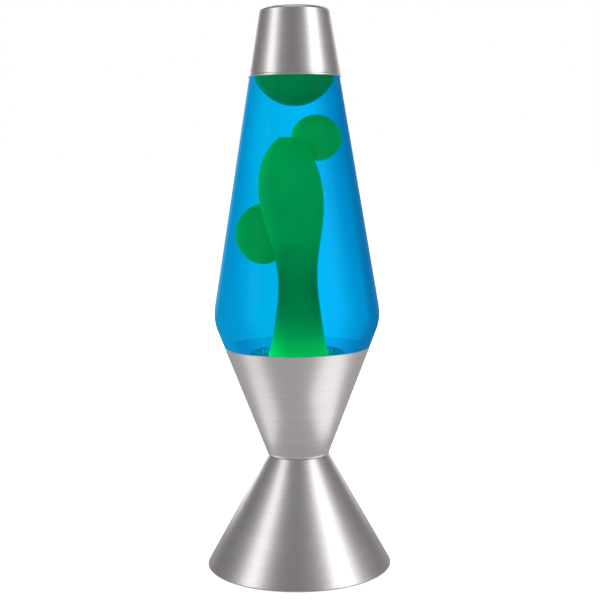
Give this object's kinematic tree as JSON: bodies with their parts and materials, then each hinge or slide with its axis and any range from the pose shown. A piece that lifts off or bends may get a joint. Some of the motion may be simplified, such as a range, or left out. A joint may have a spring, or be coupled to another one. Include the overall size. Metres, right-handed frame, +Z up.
{
  "type": "lava lamp",
  "caption": "Desk lava lamp: hourglass spun-aluminium base with a bulb inside, tapered glass bottle of blue liquid with drifting green wax, and a spun aluminium cap.",
  "frame": {"origin": "on the floor under the lamp's axis, at the underside of the feet", "axes": "+Z up along the lamp's axis; the front faces -Y and the cord inlet is at the rear, towards +Y; +X is to the right seen from the front"},
  "size_m": [0.1441, 0.1442, 0.432],
  "materials": {
    "spun_aluminium": "spun, fine turning lines, satin",
    "fibre": "vulcanised fibre",
    "phenolic": "moulded phenolic",
    "brass": "stamped",
    "black_plastic": "moulded, fine grain",
    "zinc_steel": "zinc plated",
    "black_rubber": "matt",
    "clear_glass": "clear",
    "bulb_metal": "bright",
    "black_glass": "vitreous",
    "tungsten": "drawn wire",
    "bottle_glass": "clear, polished",
    "crown_metal": "lacquered tinplate",
    "liner": "soft",
    "blue_liquid": "clear dyed liquid",
    "green_wax": "glowing molten wax"
  },
  "bodies": {
    "base": {"lower_cone": "spun_aluminium", "upper_cone": "spun_aluminium", "waist_washer": "fibre", "lamp_socket": "phenolic", "socket_ring_nut": "phenolic", "socket_screw_shell": "brass", "socket_centre_contact": "brass", "socket_terminal_screws": "brass", "bottom_cover": "black_plastic", "cover_screws": "zinc_steel", "rubber_foot_1": "black_rubber", "rubber_foot_2": "black_rubber", "rubber_foot_3": "black_rubber", "rubber_foot_4": "black_rubber", "cord_grommet": "black_rubber"},
    "bulb_tip": {"bulb_tip_contact": "bulb_metal"},
    "bulb": {"bulb_glass": "clear_glass", "bulb_screw_cap": "bulb_metal", "bulb_insulator": "black_glass", "bulb_stem": "clear_glass", "bulb_support_wires": "zinc_steel", "bulb_filament": "tungsten"},
    "bottle": {"glass_bottle": "bottle_glass", "crown_cap": "crown_metal", "crown_liner": "liner", "liquid": "blue_liquid", "coil_spring": "zinc_steel", "wax_column": "green_wax", "wax_top_pool": "green_wax"},
    "upper_blob": {"wax_blob_upper": "green_wax"},
    "lower_blob": {"wax_blob_lower": "green_wax"},
    "cap": {"top_cap": "spun_aluminium"}
  },
  "joints": [
    {"name": "bottle_lift", "type": "slide", "parent": "base", "child": "bottle", "axis": [0, 0, 1], "range_m": [0, 0.08]},
    {"name": "cap_lift", "type": "slide", "parent": "bottle", "child": "cap", "axis": [0, 0, 1], "range_m": [0, 0.06]},
    {"name": "bulb_rise", "type": "slide", "parent": "base", "child": "bulb_tip", "axis": [0, 0, 1], "range_m": [0, 0.01455]},
    {"name": "bulb_turn", "type": "hinge", "parent": "bulb_tip", "child": "bulb", "pos_m": [0, 0, 0.06], "axis": [0, 0, 1], "range_deg": [0, 1440]},
    {"name": "upper_blob_drift", "type": "slide", "parent": "bottle", "child": "upper_blob", "axis": [-0.134, -0.085, 0.9873], "range_m": [-0.04, 0.003], "deforming": ["liquid"]},
    {"name": "lower_blob_drift", "type": "slide", "parent": "bottle", "child": "lower_blob", "axis": [0.135, -0.078, 0.9878], "range_m": [-0.045, 0.003], "deforming": ["liquid"]}
  ],
  "couplings": [
    {"joint": "bulb_rise", "follows": "bulb_turn", "m_per_rad": 0.00057773}
  ]
}
